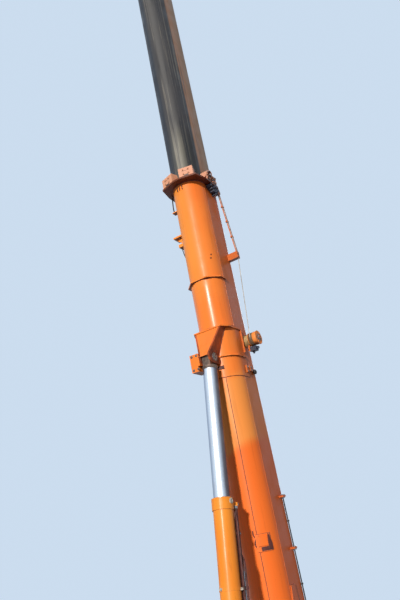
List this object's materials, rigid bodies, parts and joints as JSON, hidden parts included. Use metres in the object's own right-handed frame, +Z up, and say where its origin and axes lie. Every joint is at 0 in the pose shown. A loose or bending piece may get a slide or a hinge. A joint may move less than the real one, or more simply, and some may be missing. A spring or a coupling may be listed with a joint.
{
  "type": "telescopic crane boom with lift cylinder",
  "caption": "Raised telescopic boom of a mobile crane: round-bottomed sections that slide in each other, sheaved head, and a lift cylinder pinned to a saddle below the base section.",
  "frame": {"origin": "centre of the foot pivot bore, on the boom's plane of symmetry", "axes": "+Z up, +Y along the foot pivot, +X the way the raised boom leans, where its underside and lift cylinder are"},
  "size_m": [3.352, 1.005, 14.9492],
  "materials": {
    "boom_orange": "weathered gloss",
    "section_grey": "greasy satin",
    "pad_nylon": "matte",
    "pin_steel": "machined",
    "rod_chrome": "polished",
    "eye_grey": "dirty",
    "reel_orange": "satin",
    "housing_khaki": "dusty satin",
    "sheave_nylon": "matte"
  },
  "bodies": {
    "base_section": {"base_lower_shell": "boom_orange", "base_upper_shell": "boom_orange", "base_collar": "boom_orange", "base_front_pads": "pad_nylon", "foot_tube": "boom_orange", "foot_plates": "boom_orange", "tail_frame": "boom_orange", "saddle_cheeks": "boom_orange", "saddle_ribs": "boom_orange", "saddle_nose": "boom_orange", "saddle_doubler": "boom_orange", "saddle_pin": "pin_steel", "pin_keeper": "boom_orange", "mid_rib": "boom_orange", "belly_pad": "boom_orange", "guide_bar": "boom_orange", "left_brackets": "boom_orange", "right_brackets": "boom_orange", "reel_housing": "housing_khaki", "reel_bracket": "boom_orange"},
    "middle_section": {"middle_lower_shell": "section_grey", "middle_bilge_plates": "section_grey", "middle_upper_shell": "section_grey", "middle_collar": "section_grey", "middle_front_pads": "pad_nylon", "middle_tail_pads": "pad_nylon"},
    "tip_section": {"tip_lower_shell": "section_grey", "tip_bilge_plates": "section_grey", "tip_upper_shell": "section_grey", "tip_tail_pads": "pad_nylon", "head_plates": "boom_orange", "head_shafts": "pin_steel", "head_cross_plates": "boom_orange"},
    "cylinder_rod": {"rod_eye": "eye_grey", "lift_rod": "rod_chrome"},
    "cylinder_barrel": {"lift_barrel": "boom_orange", "gland": "boom_orange", "barrel_pipe": "boom_orange", "foot_eye": "boom_orange"},
    "reel": {"reel_drum": "reel_orange"},
    "lower_sheave_1": {"lower_sheave_1": "sheave_nylon"},
    "lower_sheave_2": {"lower_sheave_2": "sheave_nylon"},
    "lower_sheave_3": {"lower_sheave_3": "sheave_nylon"},
    "upper_sheave_1": {"upper_sheave_1": "sheave_nylon"}
  },
  "joints": [
    {"name": "middle_slide", "type": "slide", "parent": "base_section", "child": "middle_section", "axis": [0.1736, 0, 0.9848], "range_m": [-5.3, 0.45]},
    {"name": "tip_slide", "type": "slide", "parent": "middle_section", "child": "tip_section", "axis": [0.1736, 0, 0.9848], "range_m": [0, 5.9]},
    {"name": "cylinder_pivot", "type": "hinge", "parent": "base_section", "child": "cylinder_rod", "pos_m": [1.16502, 0, 3.99844], "axis": [0, -1, 0], "range_deg": [-4.1, 3.5]},
    {"name": "cylinder_slide", "type": "slide", "parent": "cylinder_rod", "child": "cylinder_barrel", "axis": [0.0087, 0, -1], "range_m": [-1.83, 0.045]},
    {"name": "reel_spin", "type": "hinge", "parent": "base_section", "child": "reel", "pos_m": [0.47729, 0, 4.43449], "axis": [0, 1, 0], "continuous": true},
    {"name": "lower_sheave_1_spin", "type": "hinge", "parent": "tip_section", "child": "lower_sheave_1", "pos_m": [2.60891, -0.13, 13.81688], "axis": [0, 1, 0], "continuous": true},
    {"name": "lower_sheave_2_spin", "type": "hinge", "parent": "tip_section", "child": "lower_sheave_2", "pos_m": [2.60891, 0, 13.81688], "axis": [0, 1, 0], "continuous": true},
    {"name": "lower_sheave_3_spin", "type": "hinge", "parent": "tip_section", "child": "lower_sheave_3", "pos_m": [2.60891, 0.13, 13.81688], "axis": [0, 1, 0], "continuous": true},
    {"name": "upper_sheave_1_spin", "type": "hinge", "parent": "tip_section", "child": "upper_sheave_1", "pos_m": [1.73712, 0, 13.59489], "axis": [0, 1, 0], "continuous": true}
  ]
}
